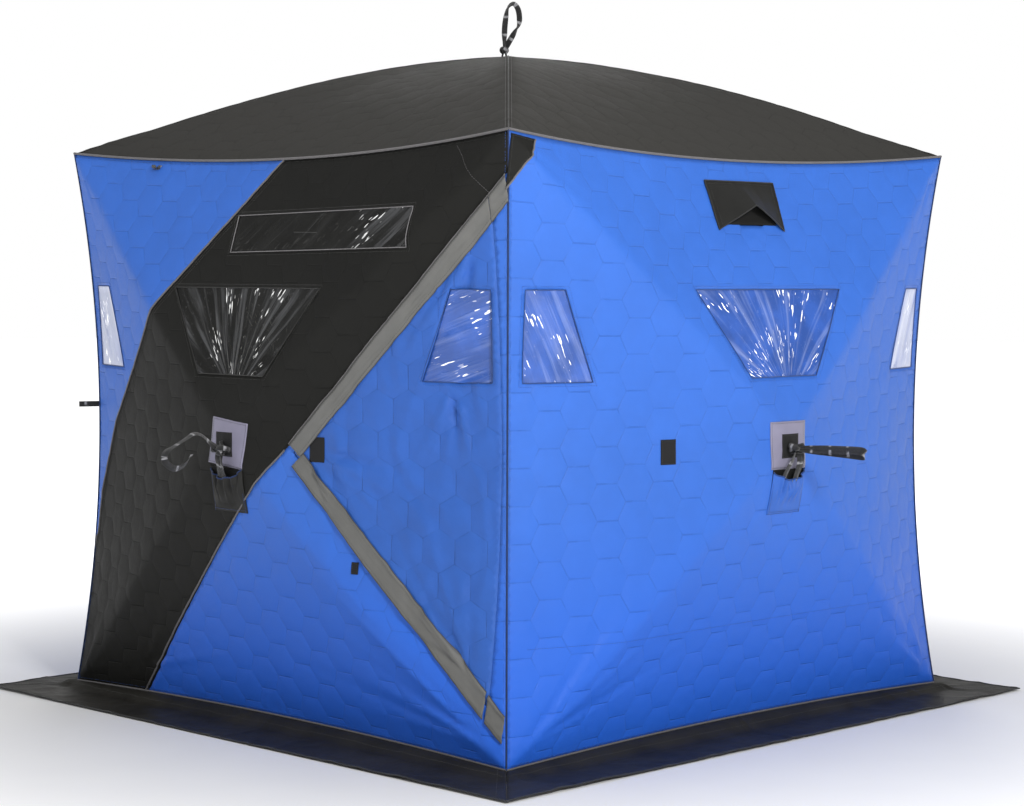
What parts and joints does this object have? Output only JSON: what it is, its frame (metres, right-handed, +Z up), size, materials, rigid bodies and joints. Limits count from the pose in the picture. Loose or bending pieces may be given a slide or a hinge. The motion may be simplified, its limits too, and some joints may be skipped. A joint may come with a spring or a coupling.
{
  "type": "pop-up hub shelter for ice fishing",
  "caption": "Four-sided pop-up ice fishing shelter: bowed cloth walls and roof on hub rods, clear windows, a snow skirt and a hinged cloth door.",
  "frame": {"origin": "centre of the footprint on the ground", "axes": "+Z up; the door wall faces -Y; +X is the plain wall beside the door's fold line"},
  "size_m": [3.1882, 3.1882, 2.5319],
  "materials": {
    "blue_cloth": "quilted satin polyester",
    "black_cloth": "quilted polyester",
    "roof_cloth": "quilted polyester",
    "clear_sheet": "crinkled clear sheet",
    "hood_cloth": "stiff polyester",
    "hub_patch": "reinforced polyester",
    "tab_cloth": "hook and loop",
    "webbing": "woven webbing",
    "skirt_cloth": "satin polyester",
    "rod": "glass-fibre rod",
    "hub_plastic": "moulded",
    "corner_plastic": "moulded",
    "flap_cloth": "polyester"
  },
  "bodies": {
    "shelter": {"front_wall": "blue_cloth", "front_sash": "black_cloth", "corner_patch": "black_cloth", "right_wall": "blue_cloth", "back_wall": "blue_cloth", "left_wall": "blue_cloth", "roof_cover": "roof_cloth", "lookout_window": "clear_sheet", "front_windows": "clear_sheet", "right_windows": "clear_sheet", "back_windows": "clear_sheet", "left_windows": "clear_sheet", "right_vent": "hood_cloth", "back_vent": "hood_cloth", "left_vent": "hood_cloth", "hub_patches": "hub_patch", "slot_patches": "tab_cloth", "hub_pockets": "blue_cloth", "pull_straps": "webbing", "wall_tabs": "tab_cloth", "flap_ends": "flap_cloth", "corner_strap": "webbing", "roof_strap": "webbing", "front_skirt": "skirt_cloth", "right_skirt": "skirt_cloth", "back_skirt": "skirt_cloth", "left_skirt": "skirt_cloth", "front_rods": "rod", "right_rods": "rod", "back_rods": "rod", "left_rods": "rod", "roof_rods": "rod", "front_hub": "hub_plastic", "right_hub": "hub_plastic", "back_hub": "hub_plastic", "left_hub": "hub_plastic", "roof_hub": "hub_plastic", "eave_corners": "corner_plastic", "foot_corners": "corner_plastic"},
    "door": {"door_panel": "blue_cloth", "door_window": "clear_sheet", "upper_flap": "flap_cloth", "lower_flap": "flap_cloth", "door_tab": "tab_cloth"}
  },
  "joints": [
    {"name": "door_hinge", "type": "hinge", "parent": "shelter", "child": "door", "pos_m": [1.045, -1.137, 0.976], "axis": [0, 0, 1], "range_deg": [0, 110]}
  ]
}
